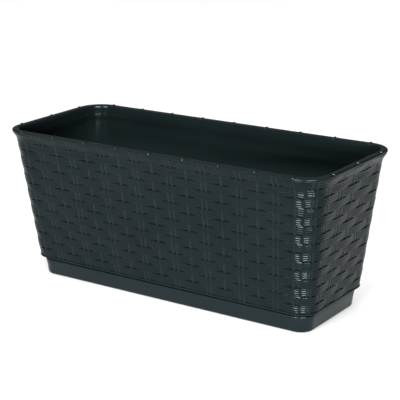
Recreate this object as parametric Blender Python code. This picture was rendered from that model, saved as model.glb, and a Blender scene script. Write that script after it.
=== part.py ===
"""Self-watering window box: a woven-look plastic box that stands in a smooth water tray.

Metres, +Z up. The origin is the middle of the underside, +X runs along the box, -Y is its front.
The box hides a soil platform whose cups and wicks reach down into the tray's water, a filler
tube with a hinged cap, and a float that shows how much water is left.
"""

import math

import bmesh
import bpy
from mathutils import Matrix, Vector

# Overall sizes
LENGTH = 0.400
WIDTH = 0.166
HEIGHT = 0.1707

# Box
LIP_OVERHANG = 0.0058
LIP_DROP = 0.0192
LIP_THICK = 0.0040
LIP_WIDTH = 0.0080
NECK_CORNER = 0.0230
SKIRT_HEIGHT = 0.0214
TAPER_LENGTH = 0.0151
TAPER_WIDTH = 0.0161
SKIRT_CORNER = 0.0180
WALL = 0.0025
FLOOR_HEIGHT = 0.0337
FLOOR_THICK = 0.0025

# Tray
TRAY_INSET = 0.0043
TRAY_LEAN = 0.0023
TRAY_CORNER = 0.0165
TRAY_WALL = 0.0024
TRAY_FLOOR = 0.0025
TRAY_EDGE = 0.0030
PLUG_HEIGHT = 0.0120
PLUG_RADIUS = 0.0050
PLUG_LIP = 0.0025
PLUG_LIP_THICK = 0.0022
PLUG_KNOB_RADIUS = 0.0022
PLUG_KNOB_LENGTH = 0.0040
BOSS_RIM = 0.0015
BOSS_PROUD = 0.0008

# Soil platform
PLATFORM_RISE = 0.0085
PLATFORM_THICK = 0.0022
PLATFORM_EDGE_GAP = 0.0015
LEG_RADIUS = 0.0040
LEG_FROM_EDGE = 0.0100
COLLAR_HEIGHT = 0.0080
COLLAR_WALL = 0.0020
SLOT_LENGTH = 0.0200
SLOT_WIDTH = 0.0040

# Wick cups and wicks
CUP_COUNT = 4
CUP_TOP_RADIUS = 0.0205
CUP_FOOT_RADIUS = 0.0160
CUP_FLANGE = 0.0035
CUP_FLANGE_THICK = 0.0020
CUP_WALL = 0.0016
CUP_FLOOR_GAP = 0.0025
CUP_SLOT_WIDTH = 0.0035
CUP_SLOT_PAIRS = 3
WICK_RADIUS = 0.0060
WICK_ABOVE_PLATFORM = 0.0260

# Filler
TUBE_FROM_FRONT = 0.0161
TUBE_RADIUS = 0.0090
TUBE_WALL = 0.0015
TUBE_FLANGE = 0.0025
TUBE_FLANGE_THICK = 0.0020
TUBE_FOOT_GAP = 0.0035
NOTCH_HEIGHT = 0.0090
FILLER_BELOW_RIM = 0.0307
FUNNEL_RADIUS = 0.0200
FUNNEL_WALL = 0.0015
FUNNEL_MOUTH_DEPTH = 0.0060
FUNNEL_CONE_DEPTH = 0.0140
SLEEVE_LENGTH = 0.0120
CAP_THICK = 0.0022
CAP_PLUG_DEPTH = 0.0040
CAP_CROWN = 0.0006
CAP_TAB = 0.0050
CAP_TAB_WIDTH = 0.0110
HINGE_REACH = 0.0035
HINGE_PIN_RADIUS = 0.0012
KNUCKLE_RADIUS = 0.0027
KNUCKLE_LENGTH = 0.0084
EAR_THICK = 0.0030

# Water gauge
WINDOW_ROOM = 0.0018
WINDOW_OVERLAP = 0.0080
FLOAT_LENGTH = 0.0220
FLOAT_TRAVEL = 0.0200
STEM_RADIUS = 0.0015
STEM_FOOT_RADIUS = 0.0030
FLAG_RADIUS = 0.0050
FLAG_LENGTH = 0.0050

# Clearances
TOUCH_GAP = 0.0003
SLIDE_GAP = 0.0008
CUP_GAP = 0.0006
FLOAT_GAP = 0.0007
HOLE_GAP = 0.0015
EDGE_ROUND = 0.0010

CORNER_STEPS = 7
ROUND_STEPS = 24

# Sizes that follow from those above
NECK_HEIGHT = HEIGHT - LIP_DROP
NECK_X = LENGTH / 2 - LIP_OVERHANG
NECK_Y = WIDTH / 2 - LIP_OVERHANG
SKIRT_X = NECK_X - TAPER_LENGTH
SKIRT_Y = NECK_Y - TAPER_WIDTH
FLOOR_TOP = FLOOR_HEIGHT + FLOOR_THICK
PLATFORM_BASE = FLOOR_TOP + PLATFORM_RISE
PLATFORM_TOP = PLATFORM_BASE + PLATFORM_THICK
COLLAR_TOP = PLATFORM_TOP + COLLAR_HEIGHT
FUNNEL_TOP = HEIGHT - FILLER_BELOW_RIM
SLEEVE_RADIUS = TUBE_RADIUS + TOUCH_GAP
TRAY_INSIDE_Y = SKIRT_Y - TRAY_INSET - TRAY_WALL - TRAY_LEAN
CUP_SPACING = 2 * (SKIRT_X - WALL) / CUP_COUNT
TUBE_Y = TUBE_FROM_FRONT - TRAY_INSIDE_Y
FILLER_X = CUP_SPACING
GAUGE_X = 0.0


def clear_scene():
    for item in list(bpy.data.objects):
        bpy.data.objects.remove(item, do_unlink=True)


def material(name, colour, roughness, metallic=0.0, alpha=1.0):
    made = bpy.data.materials.new(name)
    made.use_nodes = True
    shader = made.node_tree.nodes["Principled BSDF"]
    shader.inputs["Base Color"].default_value = (*colour, 1.0)
    shader.inputs["Roughness"].default_value = roughness
    shader.inputs["Metallic"].default_value = metallic
    shader.inputs["Alpha"].default_value = alpha
    made.diffuse_color = (*colour, alpha)
    return made


def pivot(name, place, parent=None):
    """An empty on a joint's axis, at a place in the whole object's frame."""
    empty = bpy.data.objects.new(name, None)
    empty.empty_display_size = 0.01
    bpy.context.scene.collection.objects.link(empty)
    attach(empty, place, parent)
    return empty


def attach(item, place, parent):
    item.parent = parent
    home = Vector((0, 0, 0))
    while parent:
        home += parent.location
        parent = parent.parent
    item.location = Vector(place) - home


def piece(name, shape, finish, place=(0, 0, 0), parent=None):
    """Makes one object from a bmesh, with flat areas flat and round ones smooth."""
    bmesh.ops.recalc_face_normals(shape, faces=shape.faces)
    mesh = bpy.data.meshes.new(name)
    shape.to_mesh(mesh)
    shape.free()
    for face in mesh.polygons:
        face.use_smooth = True
    mesh.set_sharp_from_angle(angle=math.radians(35))
    mesh.materials.append(finish)
    made = bpy.data.objects.new(name, mesh)
    bpy.context.scene.collection.objects.link(made)
    attach(made, place, parent)
    return made


def combine(target, helper, operation):
    """Adds the helper's shape to the target, or cuts it away, and hides the helper."""
    helper.hide_render = True
    helper.display_type = "WIRE"
    change = target.modifiers.new(operation.lower(), "BOOLEAN")
    change.object = helper
    change.operation = operation
    change.solver = "EXACT"


def rounded_ring(shape, half_x, half_y, corner, height):
    """A level ring of points round a rectangle with round corners."""
    points = []
    for turn in range(4):
        across = half_x if turn in (0, 3) else -half_x
        along = half_y if turn in (0, 1) else -half_y
        centre_x = across - math.copysign(corner, across)
        centre_y = along - math.copysign(corner, along)
        for step in range(CORNER_STEPS + 1):
            angle = math.pi / 2 * (turn + step / CORNER_STEPS)
            x = centre_x + corner * math.cos(angle)
            y = centre_y + corner * math.sin(angle)
            points.append(shape.verts.new((x, y, height)))
    return points


def lofted(levels):
    """A closed solid through level rings, each (half_x, half_y, corner, height), capped at both ends."""
    shape = bmesh.new()
    rings = [rounded_ring(shape, *level) for level in levels]
    for lower, upper in zip(rings, rings[1:]):
        for index, point in enumerate(lower):
            after = (index + 1) % len(lower)
            shape.faces.new((point, lower[after], upper[after], upper[index]))
    shape.faces.new(rings[0])
    shape.faces.new(rings[-1])
    return shape


def turned(outline, steps=ROUND_STEPS):
    """A solid turned about Z from (radius, height) points; it is closed unless it starts on the axis."""
    shape = bmesh.new()
    points = [shape.verts.new((radius, 0, height)) for radius, height in outline]
    edges = [shape.edges.new(pair) for pair in zip(points, points[1:])]
    if outline[0][0] > 0:
        edges.append(shape.edges.new((points[-1], points[0])))
    bmesh.ops.spin(
        shape,
        geom=points + edges,
        cent=(0, 0, 0),
        axis=(0, 0, 1),
        angle=2 * math.pi,
        steps=steps,
    )
    bmesh.ops.remove_doubles(shape, verts=shape.verts, dist=1e-6)
    return shape


def add_block(shape, centre, size):
    where = Matrix.Translation(centre) @ Matrix.Diagonal((*size, 1.0))
    bmesh.ops.create_cube(shape, size=1.0, matrix=where)


def add_rod(shape, centre, radius, length, turn=None, steps=ROUND_STEPS):
    """A cylinder along Z, or turned by the given matrix."""
    where = Matrix.Translation(centre)
    if turn:
        where = where @ turn
    bmesh.ops.create_cone(
        shape,
        cap_ends=True,
        segments=steps,
        radius1=radius,
        radius2=radius,
        depth=length,
        matrix=where,
    )


def wall_at(height):
    """The box's outer half length, half width and corner radius at a height below the neck."""
    share = (height - SKIRT_HEIGHT) / (NECK_HEIGHT - SKIRT_HEIGHT)
    return (
        SKIRT_X + share * TAPER_LENGTH,
        SKIRT_Y + share * TAPER_WIDTH,
        SKIRT_CORNER + share * (NECK_CORNER - SKIRT_CORNER),
    )


def inset_level(level, inset, height):
    half_x, half_y, corner = level
    return (half_x - inset, half_y - inset, corner - inset, height)


def cup_places():
    first = -CUP_SPACING * (CUP_COUNT - 1) / 2
    return [(first + CUP_SPACING * index, 0.0) for index in range(CUP_COUNT)]


def tube_places():
    """The filler and the gauge stand in front, each midway between two cups."""
    return [(FILLER_X, TUBE_Y), (GAUGE_X, TUBE_Y)]


def near_tubes(spot):
    reach = TUBE_RADIUS + COLLAR_WALL + LEG_RADIUS + HOLE_GAP
    return any(math.dist(spot, tube) < reach for tube in tube_places())


def leg_places():
    """Legs in the corners and midway between the cups, but not where a tube stands."""
    half_x, half_y, corner = wall_at(PLATFORM_BASE)
    end_x = half_x - corner - LEG_RADIUS
    side_y = half_y - WALL - PLATFORM_EDGE_GAP - LEG_FROM_EDGE
    spots = []
    for x in (-end_x, -CUP_SPACING, 0.0, CUP_SPACING, end_x):
        for y in (-side_y, side_y):
            if not near_tubes((x, y)):
                spots.append((x, y))
    return spots


def make_tray(finish):
    """A plain tray whose wall goes up inside the box's skirt and carries the box's floor."""
    top_x = SKIRT_X - TRAY_INSET
    top_y = SKIRT_Y - TRAY_INSET
    wall_top = FLOOR_HEIGHT - TOUCH_GAP
    levels = []
    for step in range(4):
        angle = math.pi / 2 * step / 3
        inset = TRAY_LEAN + TRAY_EDGE * (1 - math.sin(angle))
        height = TRAY_EDGE * (1 - math.cos(angle))
        levels.append((top_x - inset, top_y - inset, TRAY_CORNER - inset, height))
    levels.append((top_x, top_y, TRAY_CORNER, SKIRT_HEIGHT))
    levels.append((top_x, top_y, TRAY_CORNER, wall_top))
    inner = (top_x, top_y, TRAY_CORNER)
    levels.append(inset_level(inner, TRAY_WALL, wall_top))
    levels.append(inset_level(inner, TRAY_WALL, SKIRT_HEIGHT))
    levels.append(inset_level(inner, TRAY_WALL + TRAY_LEAN, TRAY_FLOOR + TRAY_EDGE))
    levels.append(inset_level(inner, TRAY_WALL + TRAY_LEAN + TRAY_EDGE / 2, TRAY_FLOOR))
    tray = piece("water_tray", lofted(levels), finish)

    sideways = Matrix.Rotation(math.pi / 2, 4, "X")
    boss = bmesh.new()
    boss_face = top_y + BOSS_PROUD
    boss_back = top_y - TRAY_WALL - TRAY_LEAN
    middle = (0, (boss_face + boss_back) / 2, PLUG_HEIGHT)
    boss_radius = PLUG_RADIUS + PLUG_LIP + BOSS_RIM
    add_rod(boss, middle, boss_radius, boss_face - boss_back, sideways)
    combine(tray, piece("plug_boss", boss, finish), "UNION")
    hole = bmesh.new()
    add_rod(hole, (0, top_y, PLUG_HEIGHT), PLUG_RADIUS + TOUCH_GAP, 6 * TRAY_WALL, sideways)
    combine(tray, piece("plug_hole", hole, finish), "DIFFERENCE")
    return boss_face


def make_plug(face_y, finish):
    """The rubber plug that lets the tray's water out, pulled straight back to open."""
    inside = 2 * TRAY_WALL + TRAY_LEAN
    lip = PLUG_RADIUS + PLUG_LIP
    lip_top = TOUCH_GAP + PLUG_LIP_THICK
    knob_top = lip_top + PLUG_KNOB_LENGTH
    outline = [
        (0, -inside),
        (PLUG_RADIUS - EDGE_ROUND, -inside),
        (PLUG_RADIUS, -inside + EDGE_ROUND),
        (PLUG_RADIUS, TOUCH_GAP),
        (lip, TOUCH_GAP),
        (lip, lip_top - EDGE_ROUND),
        (lip - EDGE_ROUND, lip_top),
        (PLUG_KNOB_RADIUS, lip_top),
        (PLUG_KNOB_RADIUS, knob_top - EDGE_ROUND),
        (PLUG_KNOB_RADIUS - EDGE_ROUND, knob_top),
        (0, knob_top),
    ]
    shape = turned(outline)
    turn = Matrix.Rotation(-math.pi / 2, 4, "X")
    bmesh.ops.transform(shape, matrix=turn, verts=shape.verts)
    place = (0, face_y, PLUG_HEIGHT)
    piece("drain_plug", shape, finish, place, pivot("drain_plug_slide", place))


def box_levels():
    """The box's skin: up the outside, over the lip, down the inside and over the floor."""
    skirt = wall_at(SKIRT_HEIGHT)
    neck = wall_at(NECK_HEIGHT)
    under_floor = wall_at(FLOOR_HEIGHT)
    on_floor = wall_at(FLOOR_TOP)
    levels = [
        inset_level(under_floor, WALL, FLOOR_HEIGHT),
        inset_level(skirt, WALL, SKIRT_HEIGHT),
        inset_level(skirt, 0, SKIRT_HEIGHT),
        inset_level(neck, 0, NECK_HEIGHT),
    ]
    cove_height = LIP_DROP - LIP_THICK
    for step in range(1, 5):
        share = step / 4
        levels.append(inset_level(neck, -LIP_OVERHANG * share**2, NECK_HEIGHT + cove_height * share))
    lip_round = LIP_THICK / 2
    for step in range(1, 4):
        angle = math.pi / 2 * step / 3
        inset = lip_round * (1 - math.cos(angle)) - LIP_OVERHANG
        levels.append(inset_level(neck, inset, HEIGHT - lip_round * (1 - math.sin(angle))))
    inner_edge = LIP_WIDTH - LIP_OVERHANG
    levels.append(inset_level(neck, inner_edge - lip_round / 2, HEIGHT))
    levels.append(inset_level(neck, inner_edge, HEIGHT - lip_round))
    levels.append(inset_level(neck, max(inner_edge, WALL), NECK_HEIGHT))
    levels.append(inset_level(wall_at(FLOOR_TOP + WALL), WALL, FLOOR_TOP + WALL))
    levels.append(inset_level(on_floor, 1.8 * WALL, FLOOR_TOP))
    return levels


def make_box(parent, finish):
    """The box, with holes in its floor for the cups and tubes and slots for the roots' air."""
    box = piece("planter_box", lofted(box_levels()), finish, (0, 0, 0), parent)
    middle = FLOOR_HEIGHT + FLOOR_THICK / 2
    depth = 4 * FLOOR_THICK
    cuts = bmesh.new()
    for x, y in cup_places():
        add_rod(cuts, (x, y, middle), CUP_TOP_RADIUS + HOLE_GAP, depth)
    for x, y in tube_places():
        add_rod(cuts, (x, y, middle), TUBE_RADIUS + HOLE_GAP, depth)
    for index in range(CUP_COUNT - 1):
        x = CUP_SPACING * (index - (CUP_COUNT - 2) / 2)
        for y in (-SLOT_LENGTH, 0, SLOT_LENGTH):
            if not near_tubes((x, y)):
                add_block(cuts, (x, y, middle), (SLOT_LENGTH, SLOT_WIDTH, depth))
    combine(box, piece("floor_holes", cuts, finish, (0, 0, 0), parent), "DIFFERENCE")


def make_platform(parent, finish):
    """The perforated plate that the soil stands on, on legs, with collars for the two tubes."""
    half = wall_at(PLATFORM_BASE)
    inset = WALL + PLATFORM_EDGE_GAP
    levels = [inset_level(half, inset, PLATFORM_BASE), inset_level(half, inset, PLATFORM_TOP)]
    platform = piece("soil_platform", lofted(levels), finish, (0, 0, 0), parent)
    extras = bmesh.new()
    leg_foot = FLOOR_TOP + TOUCH_GAP
    leg_top = PLATFORM_BASE + PLATFORM_THICK / 2
    for x, y in leg_places():
        add_rod(extras, (x, y, (leg_foot + leg_top) / 2), LEG_RADIUS, leg_top - leg_foot, steps=12)
    collar_foot = PLATFORM_BASE + PLATFORM_THICK / 2
    for x, y in tube_places():
        middle = (x, y, (collar_foot + COLLAR_TOP) / 2)
        add_rod(extras, middle, TUBE_RADIUS + TOUCH_GAP + COLLAR_WALL, COLLAR_TOP - collar_foot)
    combine(platform, piece("legs_and_collars", extras, finish, (0, 0, 0), parent), "UNION")

    cuts = bmesh.new()
    middle = PLATFORM_BASE + PLATFORM_THICK / 2
    for x, y in cup_places():
        add_rod(cuts, (x, y, middle), CUP_TOP_RADIUS + CUP_GAP, 4 * PLATFORM_THICK)
    for x, y in tube_places():
        add_rod(cuts, (x, y, middle), TUBE_RADIUS + TOUCH_GAP, 3 * COLLAR_HEIGHT)
    for x, y in slot_places():
        add_block(cuts, (x, y, middle), (SLOT_LENGTH, SLOT_WIDTH, 4 * PLATFORM_THICK))
    combine(platform, piece("platform_holes", cuts, finish, (0, 0, 0), parent), "DIFFERENCE")


def slot_places():
    """Air slots in rows between the cups, left out where a tube or a leg stands."""
    half_x, half_y, corner = wall_at(PLATFORM_BASE)
    edge_x = half_x - WALL - PLATFORM_EDGE_GAP - corner
    edge_y = half_y - WALL - PLATFORM_EDGE_GAP - 2 * SLOT_WIDTH
    columns = int((edge_x - SLOT_LENGTH / 2) / (CUP_SPACING / 3))
    row_step = 2.4 * SLOT_WIDTH
    rows = int(edge_y / row_step)
    spots = []
    for column in range(-columns, columns + 1):
        for row in range(-rows, rows + 1):
            spot = (column * CUP_SPACING / 3, row * row_step)
            if slot_is_free(spot):
                spots.append(spot)
    return spots


def slot_is_free(spot):
    def gap_to(point):
        across = max(abs(spot[0] - point[0]) - SLOT_LENGTH / 2, 0)
        along = max(abs(spot[1] - point[1]) - SLOT_WIDTH / 2, 0)
        return math.hypot(across, along)

    cups_clear = all(gap_to(cup) > CUP_TOP_RADIUS + CUP_FLANGE + SLIDE_GAP for cup in cup_places())
    tubes_clear = all(gap_to(tube) > TUBE_RADIUS + 2 * COLLAR_WALL for tube in tube_places())
    legs_clear = all(gap_to(leg) > LEG_RADIUS + HOLE_GAP for leg in leg_places())
    return cups_clear and tubes_clear and legs_clear


def cup_shape():
    """A tapered cup with a flange, a hole in its floor for the wick, and slots in its wall."""
    foot = TRAY_FLOOR + CUP_FLOOR_GAP
    top = PLATFORM_TOP + TOUCH_GAP + CUP_FLANGE_THICK
    bore = WICK_RADIUS + TOUCH_GAP
    floor_top = foot + CUP_WALL
    outline = [
        (bore, foot),
        (CUP_FOOT_RADIUS, foot),
        (CUP_TOP_RADIUS, top - CUP_FLANGE_THICK),
        (CUP_TOP_RADIUS + CUP_FLANGE, top - CUP_FLANGE_THICK),
        (CUP_TOP_RADIUS + CUP_FLANGE, top),
        (CUP_TOP_RADIUS - CUP_WALL, top),
        (CUP_FOOT_RADIUS - CUP_WALL, floor_top),
        (bore, floor_top),
    ]
    return turned(outline)


def make_cups(parent, cup_finish, wick_finish):
    foot = TRAY_FLOOR + CUP_FLOOR_GAP
    slot_top = FLOOR_HEIGHT
    slot_foot = foot + 2.5 * CUP_WALL
    slot_middle = Matrix.Translation((0, 0, (slot_foot + slot_top) / 2))
    slot_size = Matrix.Diagonal((3 * CUP_TOP_RADIUS, CUP_SLOT_WIDTH, slot_top - slot_foot, 1.0))
    for index, (x, y) in enumerate(cup_places(), start=1):
        cup = piece(f"wick_cup_{index}", cup_shape(), cup_finish, (x, y, 0), parent)
        for pair in range(CUP_SLOT_PAIRS):
            turn = Matrix.Rotation(math.pi * (pair + 0.5) / CUP_SLOT_PAIRS, 4, "Z")
            cut = bmesh.new()
            bmesh.ops.create_cube(cut, size=1.0, matrix=slot_middle @ turn @ slot_size)
            helper = piece(f"cup_{index}_slots_{pair}", cut, cup_finish, (x, y, 0), parent)
            combine(cup, helper, "DIFFERENCE")
        make_wick(index, x, y, parent, wick_finish)


def make_wick(index, x, y, parent, finish):
    """A rod of bonded fibre that stands in the cup's floor and rises into the soil."""
    foot = TRAY_FLOOR + CUP_FLOOR_GAP / 2
    top = PLATFORM_TOP + WICK_ABOVE_PLATFORM
    chamfer = EDGE_ROUND
    outline = [
        (0, foot),
        (WICK_RADIUS - chamfer, foot),
        (WICK_RADIUS, foot + chamfer),
        (WICK_RADIUS, top - chamfer),
        (WICK_RADIUS - chamfer, top),
        (0, top),
    ]
    piece(f"wick_{index}", turned(outline, 16), finish, (x, y, 0), parent)


def tube_shape(foot, top):
    """A tube with a flange that stands on its collar."""
    seat = COLLAR_TOP + TOUCH_GAP
    bore = TUBE_RADIUS - TUBE_WALL
    outline = [
        (bore, foot),
        (TUBE_RADIUS, foot),
        (TUBE_RADIUS, seat),
        (TUBE_RADIUS + TUBE_FLANGE, seat),
        (TUBE_RADIUS + TUBE_FLANGE, seat + TUBE_FLANGE_THICK),
        (TUBE_RADIUS, seat + TUBE_FLANGE_THICK),
        (TUBE_RADIUS, top),
        (bore, top),
    ]
    return turned(outline)


def tube_notches(name, parent, tube, place, finish):
    """Two crossed cuts in the tube's foot, where the water goes in or out."""
    long_side = 4 * TUBE_RADIUS
    short_side = 0.6 * TUBE_RADIUS
    for index, sides in enumerate(((long_side, short_side), (short_side, long_side)), start=1):
        cut = bmesh.new()
        add_block(cut, (0, 0, TRAY_FLOOR + TUBE_FOOT_GAP), (*sides, 2 * NOTCH_HEIGHT))
        combine(tube, piece(f"{name}_notch_{index}", cut, finish, place, parent), "DIFFERENCE")


def make_filler(parent, finish, cap_finish, pin_finish):
    place = (FILLER_X, TUBE_Y, 0)
    foot = TRAY_FLOOR + TUBE_FOOT_GAP
    cone_foot = FUNNEL_TOP - FUNNEL_MOUTH_DEPTH - FUNNEL_CONE_DEPTH
    tube = piece("filler_tube", tube_shape(foot, cone_foot - TOUCH_GAP), finish, place, parent)
    tube_notches("filler", parent, tube, place, finish)
    make_funnel(parent, cone_foot, place, finish)

    hinge_x = FILLER_X - FUNNEL_RADIUS - HINGE_REACH
    hinge = (hinge_x, TUBE_Y, FUNNEL_TOP + TOUCH_GAP)
    make_cap(pivot("filler_cap_hinge", hinge, parent), hinge, cap_finish)
    pin = bmesh.new()
    pin_length = KNUCKLE_LENGTH + 2 * (EAR_THICK + SLIDE_GAP)
    add_rod(pin, (0, 0, 0), HINGE_PIN_RADIUS, pin_length, Matrix.Rotation(math.pi / 2, 4, "X"), 12)
    piece("filler_cap_pin", pin, pin_finish, hinge, parent)


def make_funnel(parent, cone_foot, place, finish):
    """A sleeve over the tube's top that widens into a mouth, with two ears for the cap's pin."""
    sleeve_out = SLEEVE_RADIUS + FUNNEL_WALL
    stop_radius = TUBE_RADIUS - TUBE_WALL
    mouth_foot = FUNNEL_TOP - FUNNEL_MOUTH_DEPTH
    outline = [
        (SLEEVE_RADIUS, cone_foot - SLEEVE_LENGTH),
        (sleeve_out, cone_foot - SLEEVE_LENGTH),
        (sleeve_out, cone_foot),
        (FUNNEL_RADIUS, mouth_foot),
        (FUNNEL_RADIUS, FUNNEL_TOP),
        (FUNNEL_RADIUS - FUNNEL_WALL, FUNNEL_TOP),
        (FUNNEL_RADIUS - FUNNEL_WALL, mouth_foot + FUNNEL_WALL / 2),
        (stop_radius, cone_foot + FUNNEL_WALL),
        (stop_radius, cone_foot),
        (SLEEVE_RADIUS, cone_foot),
    ]
    funnel = piece("filler_funnel", turned(outline, 32), finish, place, parent)
    sideways = Matrix.Rotation(math.pi / 2, 4, "X")
    pin_height = FUNNEL_TOP + TOUCH_GAP
    reach = FUNNEL_RADIUS + HINGE_REACH
    for name, side in (("front", -1), ("back", 1)):
        y = side * (KNUCKLE_LENGTH / 2 + TOUCH_GAP + EAR_THICK / 2)
        ear = bmesh.new()
        add_rod(ear, (-reach, y, pin_height), KNUCKLE_RADIUS, EAR_THICK, sideways, 16)
        combine(funnel, piece(f"ear_round_{name}", ear, finish, place, parent), "UNION")
        arm = bmesh.new()
        arm_length = HINGE_REACH + FUNNEL_WALL * 0.8 + 0.4 * KNUCKLE_RADIUS
        arm_x = -reach + arm_length / 2 - 0.4 * KNUCKLE_RADIUS
        arm_drop = 1.6 * KNUCKLE_RADIUS
        arm_z = pin_height - KNUCKLE_RADIUS * 0.3 - arm_drop / 2
        add_block(arm, (arm_x, y, arm_z), (arm_length, EAR_THICK * 0.98, arm_drop))
        combine(funnel, piece(f"ear_arm_{name}", arm, finish, place, parent), "UNION")
    bore = bmesh.new()
    add_rod(bore, (-reach, 0, pin_height), HINGE_PIN_RADIUS + TOUCH_GAP, 0.03, sideways, 12)
    combine(funnel, piece("ear_bore", bore, finish, place, parent), "DIFFERENCE")


def make_cap(parent, hinge, finish):
    """The cap: a disc with a ring that drops into the mouth, a knuckle and a finger tab."""
    reach = FUNNEL_RADIUS + HINGE_REACH
    lift = TOUCH_GAP
    ring_out = FUNNEL_RADIUS - FUNNEL_WALL - SLIDE_GAP
    ring_in = ring_out - FUNNEL_WALL
    disc = FUNNEL_RADIUS + SLIDE_GAP / 2
    outline = [
        (0, lift),
        (ring_in, lift),
        (ring_in, lift - CAP_PLUG_DEPTH),
        (ring_out, lift - CAP_PLUG_DEPTH),
        (ring_out, lift),
        (disc, lift),
        (disc, lift + CAP_THICK - EDGE_ROUND),
        (disc - EDGE_ROUND, lift + CAP_THICK),
        (0, lift + CAP_THICK + CAP_CROWN),
    ]
    shape = turned(outline, 32)
    bmesh.ops.translate(shape, verts=shape.verts, vec=(reach, 0, 0))
    cap = piece("filler_cap", shape, finish, hinge, parent)
    sideways = Matrix.Rotation(math.pi / 2, 4, "X")
    knuckle = bmesh.new()
    add_rod(knuckle, (0, 0, 0), KNUCKLE_RADIUS, KNUCKLE_LENGTH, sideways, 16)
    combine(cap, piece("cap_knuckle", knuckle, finish, hinge, parent), "UNION")
    arm = bmesh.new()
    arm_length = HINGE_REACH + 2 * EDGE_ROUND
    arm_low = lift + CAP_THICK * 0.1
    arm_high = lift + CAP_THICK * 0.9
    arm_middle = (arm_length / 2, 0, (arm_low + arm_high) / 2)
    add_block(arm, arm_middle, (arm_length, KNUCKLE_LENGTH * 0.96, arm_high - arm_low))
    combine(cap, piece("cap_arm", arm, finish, hinge, parent), "UNION")
    tab = bmesh.new()
    tab_inside = 2 * EDGE_ROUND
    tab_middle = (reach + disc + (CAP_TAB - tab_inside) / 2, 0, lift + CAP_THICK / 2)
    add_block(tab, tab_middle, (CAP_TAB + tab_inside, CAP_TAB_WIDTH, CAP_THICK * 0.6))
    combine(cap, piece("cap_tab", tab, finish, hinge, parent), "UNION")
    bore = bmesh.new()
    add_rod(bore, (0, 0, 0), HINGE_PIN_RADIUS + TOUCH_GAP, 0.03, sideways, 12)
    combine(cap, piece("knuckle_bore", bore, finish, hinge, parent), "DIFFERENCE")


def make_gauge(parent, tube_finish, window_finish, float_finish, stem_finish, flag_finish):
    """The water gauge: a tube with a clear cap, and a float whose stem lifts a flag into it."""
    place = (GAUGE_X, TUBE_Y, 0)
    foot = TRAY_FLOOR + TUBE_FOOT_GAP
    window_top = FUNNEL_TOP + CAP_THICK
    tube_top = window_top - TUBE_WALL - WINDOW_ROOM - FLOAT_TRAVEL - FLAG_LENGTH - SLIDE_GAP
    tube = piece("gauge_tube", tube_shape(foot, tube_top), tube_finish, place, parent)
    tube_notches("gauge", parent, tube, place, tube_finish)

    window_foot = tube_top - WINDOW_OVERLAP
    outside = SLEEVE_RADIUS + TUBE_WALL
    outline = [
        (0, window_top - TUBE_WALL),
        (SLEEVE_RADIUS - EDGE_ROUND, window_top - TUBE_WALL),
        (SLEEVE_RADIUS, window_top - TUBE_WALL - EDGE_ROUND),
        (SLEEVE_RADIUS, window_foot),
        (outside, window_foot),
        (outside, window_top - 2 * EDGE_ROUND),
        (outside - 2 * EDGE_ROUND, window_top),
        (0, window_top + CAP_CROWN),
    ]
    piece("gauge_window", turned(outline), window_finish, place, parent)
    make_float(parent, place, foot, tube_top, float_finish, stem_finish, flag_finish)


def make_float(parent, place, foot, tube_top, float_finish, stem_finish, flag_finish):
    slide = pivot("float_slide", (place[0], place[1], foot), parent)
    low = foot + SLIDE_GAP
    high = low + FLOAT_LENGTH
    radius = TUBE_RADIUS - TUBE_WALL - FLOAT_GAP
    bevel = 2 * EDGE_ROUND
    outline = [
        (0, low),
        (radius - bevel, low),
        (radius, low + bevel),
        (radius, high - bevel),
        (radius - bevel, high),
        (0, high),
    ]
    piece("gauge_float", turned(outline), float_finish, place, slide)
    stem_low = high + TOUCH_GAP
    flag_low = tube_top + SLIDE_GAP
    stem = [
        (0, stem_low),
        (STEM_FOOT_RADIUS, stem_low),
        (STEM_FOOT_RADIUS, stem_low + STEM_RADIUS),
        (STEM_RADIUS, stem_low + 2 * STEM_RADIUS),
        (STEM_RADIUS, flag_low - TOUCH_GAP),
        (0, flag_low - TOUCH_GAP),
    ]
    piece("gauge_stem", turned(stem, 12), stem_finish, place, slide)
    flag_high = flag_low + FLAG_LENGTH
    flag = [
        (0, flag_low),
        (FLAG_RADIUS - EDGE_ROUND, flag_low),
        (FLAG_RADIUS, flag_low + EDGE_ROUND),
        (FLAG_RADIUS, flag_high - EDGE_ROUND),
        (FLAG_RADIUS - EDGE_ROUND, flag_high),
        (0, flag_high),
    ]
    piece("gauge_flag", turned(flag), flag_finish, place, slide)


def main():
    clear_scene()
    anthracite = material("anthracite_plastic", (0.028, 0.038, 0.043), 0.42)
    tray_grey = material("tray_plastic", (0.036, 0.044, 0.048), 0.38)
    inner_black = material("inner_plastic", (0.020, 0.022, 0.024), 0.50)
    wick_white = material("wick_fibre", (0.72, 0.70, 0.64), 0.95)
    rubber = material("plug_rubber", (0.018, 0.018, 0.019), 0.75)
    cap_grey = material("cap_plastic", (0.055, 0.062, 0.066), 0.40)
    pin_steel = material("pin_steel", (0.62, 0.62, 0.63), 0.28, 1.0)
    clear = material("window_plastic", (0.86, 0.90, 0.91), 0.06, alpha=0.35)
    white = material("float_plastic", (0.80, 0.80, 0.78), 0.45)
    red = material("flag_plastic", (0.60, 0.035, 0.025), 0.38)

    plug_face = make_tray(tray_grey)
    make_plug(plug_face, rubber)
    box_slide = pivot("box_slide", (0, 0, SKIRT_HEIGHT))
    make_box(box_slide, anthracite)
    platform_slide = pivot("platform_slide", (0, 0, PLATFORM_BASE), box_slide)
    make_platform(platform_slide, inner_black)
    make_cups(platform_slide, inner_black, wick_white)
    make_filler(platform_slide, inner_black, cap_grey, pin_steel)
    make_gauge(platform_slide, inner_black, clear, white, white, red)


main()
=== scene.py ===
"""Looks of the self-watering window box: a moulded wicker box in a smooth tray, and its inner parts."""

import math

import bpy
import numpy as np
from mathutils import Matrix, Vector


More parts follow.
